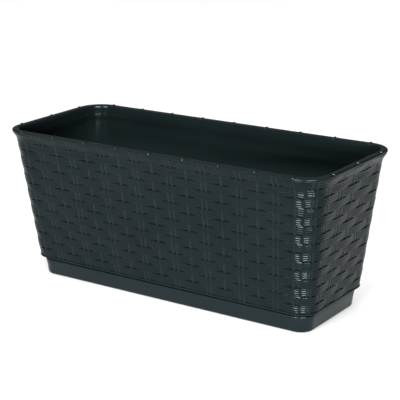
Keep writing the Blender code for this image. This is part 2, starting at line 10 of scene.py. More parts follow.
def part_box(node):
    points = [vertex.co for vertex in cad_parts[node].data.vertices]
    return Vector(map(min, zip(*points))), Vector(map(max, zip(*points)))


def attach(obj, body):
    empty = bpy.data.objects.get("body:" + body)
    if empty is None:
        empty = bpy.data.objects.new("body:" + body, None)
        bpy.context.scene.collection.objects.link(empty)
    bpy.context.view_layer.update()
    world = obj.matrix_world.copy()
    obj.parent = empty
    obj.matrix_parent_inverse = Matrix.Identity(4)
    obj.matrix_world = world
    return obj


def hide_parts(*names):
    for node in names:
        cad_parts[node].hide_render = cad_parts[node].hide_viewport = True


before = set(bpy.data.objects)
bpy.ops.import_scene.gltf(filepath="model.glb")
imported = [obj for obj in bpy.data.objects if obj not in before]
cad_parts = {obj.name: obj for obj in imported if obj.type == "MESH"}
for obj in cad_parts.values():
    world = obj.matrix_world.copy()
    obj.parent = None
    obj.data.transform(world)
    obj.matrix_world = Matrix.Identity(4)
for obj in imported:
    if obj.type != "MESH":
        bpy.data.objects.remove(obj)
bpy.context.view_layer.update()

# Camera
AIM = Vector((-0.0328, 0.0596, 0.0800))
VIEW_DISTANCE = 1.4864
VIEW_TURN = math.radians(34.38)
VIEW_RISE = math.radians(16.55)
VIEW_ROLL = math.radians(-0.43)
LENS = 117.7

# The box's shape, from the frame and the moulder's sizes
BOX_LOW, BOX_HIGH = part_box("planter_box")
TRAY_LOW, TRAY_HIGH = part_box("water_tray")
TOP = BOX_HIGH.z
HEM = BOX_LOW.z
RIM_X = BOX_HIGH.x
RIM_Y = BOX_HIGH.y
OVERHANG = 0.0058
LIP_DROP = 0.0192
LIP_THICK = 0.0040
LIP_WIDTH = 0.0080
NECK_CORNER = 0.0230
HEM_CORNER = 0.0180
NECK = TOP - LIP_DROP
NECK_X = RIM_X - OVERHANG
NECK_Y = RIM_Y - OVERHANG
HEM_X = NECK_X - 0.0151
HEM_Y = NECK_Y - 0.0161
FLOOR_UNDER = TRAY_HIGH.z + 0.0003
FLOOR_TOP = FLOOR_UNDER + 0.0025
INNER_FACE = 0.0032
INNER_STEP = 0.00014
RIDGE_RISE = 0.0005

# The weave: columns are counted from the middle of the front, round to the right
COLUMNS = 48
QUARTER = COLUMNS // 4
FRONT_COLUMNS = 8
END_SHARE = 0.93
STEPS_PER_COLUMN = 9
BANDS = 15
BAND_HEIGHT = 0.0096
COLLAR_EDGE = 0.1576
BEHIND = 0.0018
OVER = 0.0002
UNDER = 0.0011
LAP = 0.0002
STRIP = 0.0008
SLIT = 0.0007
RIBS = 4
RIB_DEPTH = 0.00026
FIRST_CORNER = QUARTER - 3
SECOND_CORNER = QUARTER + 3
CROWN = 0.0002
EDGE_SHARE = 0.09
ROD_HALF = 0.0021
ROD_FRONT = 0.00060
ROD_SWELL = 0.00030
ROD_STEPS = 90
PAIR_SHARE = 0.126
FRONT_SHORT = 0.0012

# The lights
WORLD_LIGHT = 0.18
SUN_STRENGTH = 2.3
SUN_SPREAD = 100
SOFTBOX_RADIANCE = 100

# The fittings
PIN_HOLE = 0.0015
KNUCKLE = 0.0027
TUBE_BORE = 0.0075
PLASTIC_TINT = (0.82, 0.99, 1.0, 1)


def clear_selection():
    bpy.ops.object.select_all(action="DESELECT")


def edit(action):
    """Runs one edit-mode action on all of the active piece."""
    bpy.ops.object.mode_set(mode="EDIT")
    bpy.ops.mesh.select_all(action="SELECT")
    action()
    bpy.ops.object.mode_set(mode="OBJECT")


def close_up():
    bpy.ops.mesh.remove_doubles(threshold=2e-6)
    bpy.ops.mesh.normals_make_consistent(inside=False)


def fill_and_close():
    bpy.ops.mesh.remove_doubles(threshold=2e-6)
    bpy.ops.mesh.fill_holes(sides=0)
    bpy.ops.mesh.normals_make_consistent(inside=False)


def smooth(piece, degrees=40):
    clear_selection()
    piece.select_set(True)
    bpy.context.view_layer.objects.active = piece
    bpy.ops.object.shade_smooth_by_angle(angle=math.radians(degrees))


def laid_sheet(name, across_steps, along_steps, place, finish=close_up):
    """A grid whose points are laid by place(s, t), s and t from 0 to 1, with its seams closed."""
    clear_selection()
    bpy.ops.mesh.primitive_grid_add(x_subdivisions=across_steps, y_subdivisions=along_steps, size=1)
    piece = bpy.context.object
    piece.name = name
    piece.data.name = name
    flat = np.empty(len(piece.data.vertices) * 3)
    piece.data.vertices.foreach_get("co", flat)
    flat = flat.reshape(-1, 3)
    s = np.round((flat[:, 0] + 0.5) * across_steps) / across_steps
    t = np.round((flat[:, 1] + 0.5) * along_steps) / along_steps
    piece.data.vertices.foreach_set("co", np.stack(place(s, t), axis=1).ravel())
    piece.data.update()
    edit(finish)
    return piece


def shell_at(z):
    """The weave's outer half length, half width and corner radius at a height."""
    rise = (z - HEM) / (NECK - HEM)
    flare = OVERHANG * np.clip((z - NECK) / (LIP_DROP - LIP_THICK), 0, 1) ** 2
    low = np.clip(rise, 0, 1)
    half_x = HEM_X + (NECK_X - HEM_X) * low + flare
    half_y = HEM_Y + (NECK_Y - HEM_Y) * low + flare
    corner = HEM_CORNER + (NECK_CORNER - HEM_CORNER) * low + flare
    return half_x, half_y, corner


def round_the_box(u, half_x, half_y, corner, out):
    """Points at column u of a rounded rectangle, moved out along its normal."""
    u = np.mod(u, COLUMNS)
    turn = np.floor(u / QUARTER)
    step = np.where(turn % 2 == 0, u - turn * QUARTER, (turn + 1) * QUARTER - u)
    flip_x = np.where((turn == 2) | (turn == 3), -1.0, 1.0)
    flip_y = np.where((turn == 1) | (turn == 2), -1.0, 1.0)
    flat_x = half_x - corner
    flat_y = half_y - corner
    arc = corner * math.pi / 2
    reach = FRONT_SHORT + arc + (1 - END_SHARE) * flat_y
    run = (step - FRONT_COLUMNS) / 2 * reach - FRONT_SHORT
    angle = np.clip(run, 0, arc) / corner
    on_front = run <= 0
    on_end = (run > arc) & ~on_front
    past = step > FRONT_COLUMNS + 2
    along = np.where(step <= FRONT_COLUMNS, (flat_x - FRONT_SHORT) * step / FRONT_COLUMNS, flat_x + run)
    x = np.where(on_front, along, flat_x + corner * np.sin(angle))
    y = np.where(on_front, -half_y, -flat_y - corner * np.cos(angle))
    normal_x = np.where(on_front, 0.0, np.sin(angle))
    normal_y = np.where(on_front, -1.0, -np.cos(angle))
    end_y = np.where(past, -END_SHARE * flat_y * (QUARTER - step) / 2, run - arc - flat_y)
    x = np.where(on_end | past, half_x, x)
    y = np.where(on_end | past, end_y, y)
    normal_x = np.where(on_end | past, 1.0, normal_x)
    normal_y = np.where(on_end | past, 0.0, normal_y)
    return flip_x * (x + out * normal_x), flip_y * (y + out * normal_y)


def on_shell(u, z, out):
    x, y = round_the_box(u, *shell_at(z), out)
    return x, y, z


def weave_wave(u, band):
    """1 where a band passes over a stake, -1 where it passes behind one."""
    return np.cos(math.pi * u) * (1 if band % 2 == 0 else -1)


def make_band(band):
    """One strip of the weave, ribbed along its length, going round the box over and behind the stakes.

    The ribs are deeper near the four corners, most of all on every second strip.
    """
    top = min(COLLAR_EDGE + BAND_HEIGHT * (1 - band), TOP - LIP_THICK + 0.0004)
    bottom = COLLAR_EDGE - BAND_HEIGHT * band
    face_steps = 6 * RIBS
    steps = face_steps + 4
    corner_gain = 0.6 if band % 2 == 0 else 0.1

    def place(s, t):
        u = s * COLUMNS
        wave = weave_wave(u, band)
        index = np.round(t * steps)
        share = np.clip((index - 1) / face_steps, 0, 1)
        before = np.clip(wave, 0, 1)
        behind = np.clip(-wave, 0, 1)
        high = top + LAP * behind
        low = bottom + SLIT * behind**0.45 - LAP * before
        mid = -(OVER + UNDER) / 2 + (UNDER - OVER) / 2 * wave
        out = mid - CROWN * before * (2 * share - 1) ** 2
        half_turn = np.mod(u, 2 * QUARTER)
        from_corner = np.minimum(np.abs(half_turn - FIRST_CORNER), np.abs(half_turn - SECOND_CORNER))
        deeper = 1 + corner_gain * np.clip(1.6 - from_corner, 0, 1)
        near_edge = np.minimum(share, 1 - share) / EDGE_SHARE
        out = out - (0.00008 + 0.00022 * before) * np.clip(1 - near_edge, 0, 1) ** 2
        out = out - RIB_DEPTH * deeper * (0.5 + 0.5 * np.cos(2 * math.pi * RIBS * share))
        back = (index < 1) | (index > face_steps + 1)
        out = np.where(back, mid - STRIP - CROWN * before * 0.6, out)
        z = high + (low - high) * share
        z = np.where(index == face_steps + 3, high, z)
        return on_shell(u, z, out)

    piece = laid_sheet(f"woven_band_{band:02d}", COLUMNS * STEPS_PER_COLUMN, steps, place)
    smooth(piece, 50)
    return piece


def make_rod(u, shows_in_odd, half_width):
    """One upright of the weave, half round, coming forward where the bands leave it open."""
    low = HEM + 0.0016
    high = TOP - LIP_THICK + 0.0006
    around = 10

    def place(s, t):
        index = np.round(s * around)
        z = low + (high - low) * t
        band = (COLLAR_EDGE - z) / BAND_HEIGHT + 0.5
        sign = 1 if shows_in_odd else -1
        front = -ROD_FRONT + ROD_SWELL * sign * np.cos(math.pi * band)
        depth = front + BEHIND
        half_x, half_y, corner = shell_at(z)
        column = (half_x - corner) / FRONT_COLUMNS
        share = 1 - 2 * np.clip(index, 0, around - 1) / (around - 1)
        side = half_width * share / column
        out = -BEHIND + depth * np.maximum(np.cos(math.pi / 2 * share), 0) ** 0.75
        wrap = index == around
        side = np.where(wrap, half_width / column, side)
        out = np.where(wrap, -BEHIND, out)
        return on_shell(u + side, z, out)

    return laid_sheet("rod", around, ROD_STEPS, place, fill_and_close)


def join(name, pieces):
    clear_selection()
    for piece in pieces:
        piece.select_set(True)
    bpy.context.view_layer.objects.active = pieces[0]
    bpy.ops.object.join()
    joined = bpy.context.object
    joined.name = name
    joined.data.name = name
    return joined


def make_rods():
    singles = [make_rod(u, True, ROD_HALF) for u in range(0, COLUMNS, 2)]
    pairs = []
    for u in range(1, COLUMNS, 2):
        for side in (-1, 1):
            pairs.append(make_rod(u + side * PAIR_SHARE, False, ROD_HALF * 0.92))
    made = [join("single_stakes", singles), join("paired_stakes", pairs)]
    for piece in made:
        smooth(piece, 60)
    return made


def arc_points(centre_in, centre_z, radius, start, end, count):
    """(inset, height) points on an arc; angles are in quarter turns, 0 outwards and 1 upwards."""
    points = []
    for step in range(count + 1):
        angle = math.pi / 2 * (start + (end - start) * step / count)
        points.append((centre_in - radius * math.cos(angle), centre_z + radius * math.sin(angle)))
    return points


def ring_sheet(name, profile):
    """A sheet round the box through (inset, height) points, inset from the weave's outer face."""
    inset = np.array([point[0] for point in profile])
    height = np.array([point[1] for point in profile])

    def place(s, t):
        index = np.round(t * (len(profile) - 1)).astype(int)
        z = height[index]
        half_x, half_y, corner = shell_at(np.minimum(z, TOP))
        cut = inset[index]
        tight = np.maximum(corner - cut, 0.0008)
        x, y = round_the_box(s * COLUMNS, half_x - cut, half_y - cut, tight, 0)
        return x, y, z

    return laid_sheet(name, COLUMNS * 6, len(profile) - 1, place, fill_and_close)


def cut_with(piece, cutter, operation="DIFFERENCE"):
    clear_selection()
    piece.select_set(True)
    bpy.context.view_layer.objects.active = piece
    change = piece.modifiers.new("cut", "BOOLEAN")
    change.object = cutter
    change.operation = operation
    change.solver = "EXACT"
    bpy.ops.object.modifier_apply(modifier=change.name)
    bpy.data.objects.remove(cutter, do_unlink=True)


def add_cylinder(radius, depth, centre, axis="Z", sides=48):
    clear_selection()
    turn = (math.pi / 2, 0, 0) if axis == "Y" else (0, 0, 0)
    bpy.ops.mesh.primitive_cylinder_add(
        vertices=sides, radius=radius, depth=depth, location=centre, rotation=turn
    )
    bpy.ops.object.transform_apply(location=True, rotation=True, scale=True)
    return bpy.context.object


def add_block(size, centre, turn=0.0):
    clear_selection()
    bpy.ops.mesh.primitive_cube_add(size=1, location=centre, rotation=(0, 0, turn))
    block = bpy.context.object
    block.scale = size
    bpy.ops.object.transform_apply(location=True, rotation=True, scale=True)
    return block


def centre_of(node):
    low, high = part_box(node)
    return (low + high) / 2


def make_box_shell():
    """The smooth skin behind the weave, with the hem, the rolled lip, the inside and the floor."""
    lip_face = TOP - RIDGE_RISE
    lip_round = (lip_face - (TOP - LIP_THICK)) / 2
    profile = [(INNER_FACE, FLOOR_UNDER)]
    profile += [(INNER_FACE, HEM + 0.0004), (INNER_FACE - 0.0005, HEM)]
    profile += [(0.0006, HEM), (0.0002, HEM + 0.0003), (0.0001, HEM + 0.0009), (0.0002, HEM + 0.0014)]
    profile += [(0.0007, HEM + 0.0018), (BEHIND, HEM + 0.0021), (BEHIND, 0.0600)]
    profile += [(BEHIND, 0.1000), (BEHIND, NECK)]
    for step in range(1, 6):
        profile.append((BEHIND, NECK + (LIP_DROP - LIP_THICK) * step / 5))
    profile += [(0.0010, TOP - LIP_THICK)]
    profile += arc_points(lip_round + 0.0003, lip_face - lip_round, lip_round, -0.9, 1, 8)
    profile += arc_points(LIP_WIDTH - lip_round, lip_face - lip_round, lip_round, 1, 2, 5)
    for step in range(17):
        share = step / 16
        z = TOP - LIP_THICK + 0.0010 - (LIP_DROP - LIP_THICK + 0.0010) * share
        flare = OVERHANG * min(max((z - NECK) / (LIP_DROP - LIP_THICK), 0), 1) ** 2
        gain = LIP_WIDTH + 0.0001 - INNER_FACE - OVERHANG
        step_out = INNER_STEP * min(max((z - TOP + 0.0125) / 0.0022, 0), 1)
        step_back = INNER_STEP * min(max((z - TOP + 0.0068) / 0.0022, 0), 1)
        inset = INNER_FACE + flare + gain * (1 - share) - step_out + step_back
        profile.append((inset, z))
    profile += [(INNER_FACE, 0.1100), (INNER_FACE, 0.0700)]
    profile += arc_points(INNER_FACE + 0.0040, FLOOR_TOP + 0.0040, 0.0040, 0, -1, 5)
    shell = ring_sheet("box_shell", profile)
    for index in range(1, 5):
        centre = centre_of(f"wick_cup_{index}")
        cut_with(shell, add_cylinder(0.0220, 0.02, (centre.x, centre.y, FLOOR_TOP)))
    for node in ("filler_tube", "gauge_tube"):
        centre = centre_of(node)
        cut_with(shell, add_cylinder(0.0105, 0.02, (centre.x, centre.y, FLOOR_TOP), sides=40))
    smooth(shell, 40)
    return shell


def make_lip_ridges():
    """A low ridge over the lip at each single stake."""
    ridges = []
    outer = 0.0002
    inner = LIP_WIDTH - 0.0001
    high = TOP
    low = TOP - LIP_THICK + 0.0006
    half = 0.0014
    for u in range(0, COLUMNS, 2):

        def place(s, t, u=u):
            angle = math.pi * 2 * s
            across = np.sign(np.cos(angle)) * np.abs(np.cos(angle)) ** 0.6
            rise = np.clip(t * 5, 0, 5) / 5
            shrink = np.where(rise < 0.99, 1 - 0.25 * rise**3, 0.0)
            z = low + (high - low) * np.minimum(rise * 1.25, 1) ** 0.8
            middle = (outer + inner) / 2
            reach = (inner - outer) / 2
            along = np.sign(np.sin(angle)) * np.abs(np.sin(angle)) ** 0.6
            half_x, half_y, corner = shell_at(np.full_like(s, TOP))
            column = (half_x - corner) / FRONT_COLUMNS
            cut = middle + reach * across * shrink
            side = half * along * shrink / column
            x, y = round_the_box(u + side, half_x, half_y, corner, -cut)
            return x, y, z

        ridges.append(laid_sheet("ridge", 16, 5, place, fill_and_close))
    piece = join("lip_ridges", ridges)
    smooth(piece, 60)
    return piece


def rounded_plate(name, half_x, half_y, corner, z):
    """A flat plate with rounded corners, in edit mode with its face selected."""
    clear_selection()
    bpy.ops.mesh.primitive_plane_add(size=1, location=(0, 0, z))
    plate = bpy.context.object
    plate.name = name
    plate.data.name = name
    plate.scale = (2 * half_x, 2 * half_y, 1)
    bpy.ops.object.transform_apply(location=True, rotation=True, scale=True)
    bpy.ops.object.mode_set(mode="EDIT")
    bpy.ops.mesh.select_all(action="SELECT")
    bpy.ops.mesh.bevel(offset=corner, segments=16, affect="VERTICES")
    bpy.ops.mesh.select_mode(type="FACE")
    bpy.ops.mesh.select_all(action="SELECT")
    return plate


def draw_rings(half_x, half_y, rings, upwards):
    """Carries the selected face through (inset, height) rings, by insets, or by extruding where it widens."""
    inset, z = rings[0]
    for next_inset, next_z in rings[1:]:
        if next_inset > inset + 1e-6:
            depth = (next_z - z) * (1 if upwards else -1)
            bpy.ops.mesh.inset(thickness=next_inset - inset, depth=depth, use_boundary=True)
        else:
            bpy.ops.mesh.extrude_region_move(TRANSFORM_OT_translate={"value": (0, 0, next_z - z)})
            grow = ((half_x - next_inset) / (half_x - inset), (half_y - next_inset) / (half_y - inset), 1)
            bpy.ops.transform.resize(value=grow, center_override=(0, 0, next_z))
        inset, z = next_inset, next_z


def make_tray():
    """The plain tray, with a rounded foot, a step inside the skirt and the drain's boss."""
    lean = 0.0023
    foot = 0.0030
    wall = 0.0024
    floor = 0.0025
    edge = HEM - 0.0030
    half_x, half_y, corner = TRAY_HIGH.x, TRAY_HIGH.x - HEM_X + HEM_Y, 0.0165
    outside = [(0.0002, edge - 0.0009), (lean * 0.5, 0.0115)]
    for step in range(9):
        angle = math.pi / 2 * (1 - step / 8)
        outside.append((lean + foot * (1 - math.sin(angle)), foot * (1 - math.cos(angle))))
    inside = arc_points(0.0011, edge - 0.0009, 0.0009, 0, 1, 5)
    inside += [(0.0020, edge), (0.0022, edge + 0.0003), (0.0022, TRAY_HIGH.z - 0.0005)]
    inside += [(0.0027, TRAY_HIGH.z), (0.0041, TRAY_HIGH.z), (0.0045, TRAY_HIGH.z - 0.0004)]
    inside += [(0.0045, edge - 0.0010), (wall, edge - 0.0034)]
    for step in range(7):
        angle = math.pi / 2 * step / 6
        inside.append((wall + lean + foot * (1 - math.cos(angle)), floor + foot * (1 - math.sin(angle))))
    tray = rounded_plate("smooth_tray", half_x - 0.0002, half_y - 0.0002, corner - 0.0002, outside[0][1])
    first_drop = outside[1][1] - outside[0][1]
    bpy.ops.mesh.extrude_region_move(TRANSFORM_OT_translate={"value": (0, 0, first_drop)})
    taper = ((half_x - outside[1][0]) / (half_x - 0.0002), (half_y - outside[1][0]) / (half_y - 0.0002), 1)
    bpy.ops.transform.resize(value=taper, center_override=(0, 0, outside[1][1]))
    bpy.ops.mesh.select_all(action="SELECT")
    bpy.ops.mesh.normals_make_consistent(inside=False)
    bpy.ops.mesh.select_all(action="DESELECT")
    bpy.ops.object.mode_set(mode="OBJECT")
    for face in tray.data.polygons:
        face.select = face.normal.z < -0.9
    bpy.ops.object.mode_set(mode="EDIT")
    draw_rings(half_x, half_y, outside[1:], False)
    bpy.ops.mesh.select_all(action="DESELECT")
    bpy.ops.object.mode_set(mode="OBJECT")
    for face in tray.data.polygons:
        face.select = face.normal.z > 0.9
    bpy.ops.object.mode_set(mode="EDIT")
    draw_rings(half_x, half_y, inside, True)
    bpy.ops.mesh.select_mode(type="VERT")
    bpy.ops.object.mode_set(mode="OBJECT")
    edit(close_up)
    plug = centre_of("drain_plug")
    boss_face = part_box("drain_plug")[1].y - 0.0065
    boss_depth = 0.0055
    boss_middle = (plug.x, boss_face - boss_depth / 2, plug.z)
    cut_with(tray, add_cylinder(0.0090, boss_depth, boss_middle, "Y"), "UNION")
    cut_with(tray, add_cylinder(0.0053, 0.02, (plug.x, boss_face, plug.z), "Y"))
    smooth(tray, 35)
    return tray


def turned(name, outline, centre, steps=56, closed=True, axis="Z"):
    """A piece turned about an axis: a circle drawn out and resized through (radius, height) points."""
    clear_selection()
    radius, height = outline[0]
    bpy.ops.mesh.primitive_circle_add(vertices=steps, radius=radius, location=(0, 0, height))
    piece = bpy.context.object
    bpy.ops.object.transform_apply(location=True, rotation=True, scale=True)
    bpy.ops.object.mode_set(mode="EDIT")
    bpy.ops.mesh.select_mode(type="EDGE")
    bpy.ops.mesh.select_all(action="SELECT")
    for next_radius, next_height in outline[1:] + outline[: 1 if closed else 0]:
        rise = (0, 0, next_height - height)
        bpy.ops.mesh.extrude_edges_move(TRANSFORM_OT_translate={"value": rise})
        share = next_radius / radius
        bpy.ops.transform.resize(value=(share, share, 1), center_override=(0, 0, next_height))
        radius, height = next_radius, next_height
    bpy.ops.mesh.select_all(action="SELECT")
    fill_and_close()
    bpy.ops.mesh.select_mode(type="VERT")
    bpy.ops.object.mode_set(mode="OBJECT")
    piece.location = centre
    if axis == "Y":
        piece.rotation_euler.x = -math.pi / 2
    bpy.ops.object.transform_apply(location=True, rotation=True, scale=True)
    piece.name = name
    piece.data.name = name
    smooth(piece, 40)
    return piece


def make_cup(index):
    """A soil cup with a rolled flange, water slots and a socket for the wick."""
    node = f"wick_cup_{index}"
    low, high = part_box(node)
    centre = (low + high) / 2
    wide = (high.x - low.x) / 2
    body = wide - 0.0035
    foot = 0.0160
    wall = 0.0016
    bore = 0.0063
    under = high.z - 0.0020
    outline = [
        (bore, low.z), (foot - 0.0012, low.z), (foot, low.z + 0.0012),
        (body, under), (wide - 0.0004, under), (wide, under + 0.0005),
        (wide, high.z - 0.0005), (wide - 0.0006, high.z), (body - wall + 0.0008, high.z),
        (body - wall, high.z - 0.0008), (foot - wall, low.z + 2 * wall),
        (foot - wall - 0.0010, low.z + wall), (bore + wall, low.z + wall),
        (bore + wall, low.z + 4 * wall), (bore, low.z + 4 * wall),
    ]
    cup = turned("soil_cup", outline, (centre.x, centre.y, 0))
    slot_low = low.z + 0.0062
    slot_high = FLOOR_UNDER
    middle = (centre.x, centre.y, (slot_low + slot_high) / 2)
    ring = turned("ring", [(bore + wall + 0.0008, -0.03), (0.03, -0.03), (0.03, 0.03),
                           (bore + wall + 0.0008, 0.03)], middle)
    bars = []
    for turn in range(3):
        bars.append(add_block((0.06, 0.0035, slot_high - slot_low), middle, math.pi * (turn + 0.5) / 3))
    cutter = bars[0]
    cut_with(cutter, bars[1], "UNION")
    cut_with(cutter, bars[2], "UNION")
    cut_with(cutter, ring, "INTERSECT")
    cut_with(cup, cutter)
    smooth(cup, 40)
    return cup


def copy_of(piece, name, shift):
    clear_selection()
    twin = piece.copy()
    twin.data = piece.data.copy()
    twin.name = name
    twin.data.name = name
    twin.data.transform(Matrix.Translation(shift))
    bpy.context.scene.collection.objects.link(twin)
    return twin


def make_wick(index):
    """A rod of bonded fibre with soft ends and a slightly uneven skin."""
    low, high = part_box(f"wick_{index}")
    centre = (low + high) / 2
    radius = (high.x - low.x) / 2 - 0.0002
    soft = 0.0010
    outline = []
    for step in range(5):
        angle = math.pi / 2 * step / 4
        outline.append((radius - soft + soft * math.sin(angle), low.z + soft - soft * math.cos(angle)))
    rows = 44
    for row in range(1, rows):
        outline.append((radius, low.z + soft + (high.z - low.z - 2 * soft) * row / rows))
    for step in range(5):
        angle = math.pi / 2 * step / 4
        outline.append((radius - soft + soft * math.cos(angle), high.z - soft + soft * math.sin(angle)))
    wick = turned(f"fibre_wick_{index}", outline, (centre.x, centre.y, 0), steps=36, closed=False)
    edit(lambda: bpy.ops.transform.vertex_random(offset=0.00006, normal=1.0, seed=index))
    smooth(wick, 60)
    return wick


def make_tube(name, node):
    """A tube with a seated flange and four water notches in its foot."""
    low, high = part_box(node)
    centre = (low + high) / 2
    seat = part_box("soil_platform")[1].z + 0.0003
    outer = 0.0090
    bore = TUBE_BORE
    flange = (high.x - low.x) / 2
    outline = [
        (bore, low.z), (outer - 0.0004, low.z), (outer, low.z + 0.0004), (outer, seat),
        (flange - 0.0004, seat), (flange, seat + 0.0005), (flange, seat + 0.0015),
        (flange - 0.0005, seat + 0.0020), (outer + 0.0004, seat + 0.0020),
        (outer, seat + 0.0026), (outer, high.z - 0.0004), (outer - 0.0004, high.z), (bore, high.z),
    ]
    tube = turned(name, outline, (centre.x, centre.y, 0))
    for turn in (0.0, math.pi / 2):
        foot = (centre.x, centre.y, low.z)
        cut_with(tube, add_block((0.036, 0.0054, 0.018), foot, turn))
    smooth(tube, 40)
    return tube


def make_funnel():
    """The filler's mouth, with a rolled edge and two ears for the cap's pin."""
    low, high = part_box("filler_funnel")
    tube = centre_of("filler_tube")
    pin = centre_of("filler_cap_pin")
    top = pin.z - 0.0003
    mouth = 0.0200
    wall = 0.0015
    sleeve = 0.0093
    cone_foot = low.z + 0.0120
    mouth_foot = top - 0.0060
    outline = [
        (sleeve, low.z), (sleeve + wall - 0.0004, low.z), (sleeve + wall, low.z + 0.0005),
        (sleeve + wall, cone_foot - 0.0010), (sleeve + wall + 0.0010, cone_foot + 0.0012),
        (mouth - 0.0012, mouth_foot - 0.0012), (mouth, mouth_foot + 0.0006),
        (mouth, top - 0.0006), (mouth - 0.0004, top), (mouth - wall + 0.0004, top),
        (mouth - wall, top - 0.0005), (mouth - wall, mouth_foot + 0.0014),
        (mouth - wall - 0.0012, mouth_foot), (0.0088, cone_foot + 0.0030),
        (TUBE_BORE, cone_foot + 0.0014), (TUBE_BORE, cone_foot), (sleeve, cone_foot),
    ]
    funnel = turned("filler_mouth", outline, (tube.x, tube.y, 0), steps=72)
    for side in (-1, 1):
        y = pin.y + side * (0.0042 + 0.0003 + 0.0015)
        cut_with(funnel, add_cylinder(KNUCKLE, 0.0030, (pin.x, y, pin.z), "Y", 32), "UNION")
        arm = (pin.x + 0.0020, y, pin.z - 0.0030)
        cut_with(funnel, add_block((0.0062, 0.00296, 0.0042), arm), "UNION")
    cut_with(funnel, add_cylinder(PIN_HOLE, 0.03, (pin.x, pin.y, pin.z), "Y", 24))
    smooth(funnel, 35)
    return funnel


def make_cap():
    """The filler's cap: a crowned disc with a grip ring, a plug ring, a knuckle and a finger tab."""
    low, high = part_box("filler_cap")
    tube = centre_of("filler_tube")
    pin = centre_of("filler_cap_pin")
    seat = pin.z + 0.0003
    disc = 0.0204
    thick = 0.0022
    ring_out = 0.0177
    ring_in = ring_out - 0.0015
    outline = [
        (ring_in, seat), (ring_in, low.z + 0.0003), (ring_in + 0.0004, low.z),
        (ring_out - 0.0005, low.z), (ring_out, low.z + 0.0005), (ring_out, seat),
        (disc - 0.0003, seat), (disc, seat + 0.0004), (disc, seat + thick - 0.0007),
        (disc - 0.0007, seat + thick), (disc - 0.0030, seat + thick + 0.0001),
        (disc - 0.0036, seat + thick - 0.0004), (disc - 0.0048, seat + thick - 0.0004),
        (disc - 0.0054, seat + thick + 0.0002), (0.0080, seat + thick + 0.0005),
    ]
    cap = turned("filler_lid", outline, (tube.x, tube.y, 0), steps=72, closed=False)
    cut_with(cap, add_cylinder(KNUCKLE, 0.0084, (pin.x, pin.y, pin.z), "Y", 32), "UNION")
    arm = add_block((0.0055, 0.0081, 0.0017), (pin.x + 0.0028, pin.y, seat + 0.0011))
    cut_with(cap, arm, "UNION")
    tab_end = high.x
    tab_start = tube.x + disc - 0.0020
    tab_middle = ((tab_end + tab_start) / 2, tube.y, seat + thick / 2)
    tab = add_block((tab_end - tab_start, 0.0110, 0.0013), tab_middle)
    soften(tab, 0.0005)
    cut_with(cap, tab, "UNION")
    cut_with(cap, add_cylinder(PIN_HOLE, 0.03, (pin.x, pin.y, pin.z), "Y", 24))
    smooth(cap, 35)
    return cap


def soften(piece, width, segments=2):
    clear_selection()
    piece.select_set(True)
    bpy.context.view_layer.objects.active = piece
    change = piece.modifiers.new("soften", "BEVEL")
    change.width = width
    change.segments = segments
    change.limit_method = "ANGLE"
    bpy.ops.object.modifier_apply(modifier=change.name)


def make_pin():
    low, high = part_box("filler_cap_pin")
    centre = (low + high) / 2
    half = (high.y - low.y) / 2
    radius = (high.z - low.z) / 2
    outline = [
        (radius - 0.0003, -half), (radius, -half + 0.0003),
        (radius, half - 0.0003), (radius - 0.0003, half),
    ]
    return turned("lid_pin", outline, centre, steps=24, closed=False, axis="Y")


def make_plug():
    low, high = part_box("drain_plug")
    centre = (low + high) / 2
    lip = (high.z - low.z) / 2
    start = high.y - 0.0062
    outline = [
        (0.0038, low.y), (0.0046, low.y + 0.0003), (0.0050, low.y + 0.0010),
        (0.0048, low.y + 0.0018), (0.0048, start), (lip - 0.0002, start), (lip, start + 0.0003),
        (lip, start + 0.0012), (lip - 0.0003, start + 0.0018), (lip - 0.0009, start + 0.0022),
        (0.0026, start + 0.0022), (0.0022, start + 0.0026), (0.0020, start + 0.0040),
        (0.0022, start + 0.0052), (0.0018, high.y - 0.0003), (0.0010, high.y),
    ]
    return turned("rubber_plug", outline, (centre.x, 0, centre.z), closed=False, axis="Y")


def make_window():
    low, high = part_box("gauge_window")
    centre = (low + high) / 2
    outer = (high.x - low.x) / 2
    bore = 0.0093
    bend = 0.0014
    inside = high.z - 0.0021
    outline = [(bore - 0.0030, inside)]
    for step in range(1, 5):
        angle = math.pi / 2 * step / 4
        outline.append((bore - bend + bend * math.sin(angle), inside - bend + bend * math.cos(angle)))
    outline += [(bore, low.z + 0.0002), (bore + 0.0003, low.z), (outer - 0.0003, low.z)]
    outline += [(outer, low.z + 0.0003), (outer, low.z + 0.0026), (outer - 0.0004, low.z + 0.0030)]
    crown = high.z - 0.0036
    outline += [(outer - 0.0004, crown)]
    for step in range(1, 6):
        angle = math.pi / 2 * step / 5
        outline.append((outer - 0.0030 + 0.0026 * math.cos(angle), crown + 0.0030 * math.sin(angle)))
    outline += [(0.0030, high.z - 0.0002)]
    return turned("clear_window", outline, (centre.x, centre.y, 0), closed=False)


def rounded_rod(name, node, radius, bevel):
    low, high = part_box(node)
    centre = (low + high) / 2
    outline = [(radius - bevel, low.z)]
    for step in range(1, 5):
        angle = math.pi / 2 * step / 4
        outline.append((radius - bevel + bevel * math.sin(angle), low.z + bevel - bevel * math.cos(angle)))
    for step in range(5):
        angle = math.pi / 2 * step / 4
        outline.append((radius - bevel + bevel * math.cos(angle), high.z - bevel + bevel * math.sin(angle)))
    return turned(name, outline, (centre.x, centre.y, 0), steps=48, closed=False)


def make_stem():
    low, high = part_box("gauge_stem")
    centre = (low + high) / 2
    outline = [
        (0.0026, low.z), (0.0030, low.z + 0.0004), (0.0030, low.z + 0.0012),
        (0.0026, low.z + 0.0018), (0.0017, low.z + 0.0026), (0.0015, low.z + 0.0034),
        (0.0015, high.z - 0.0004), (0.0011, high.z),
    ]
    return turned("float_stem", outline, (centre.x, centre.y, 0), steps=28, closed=False)


# Materials


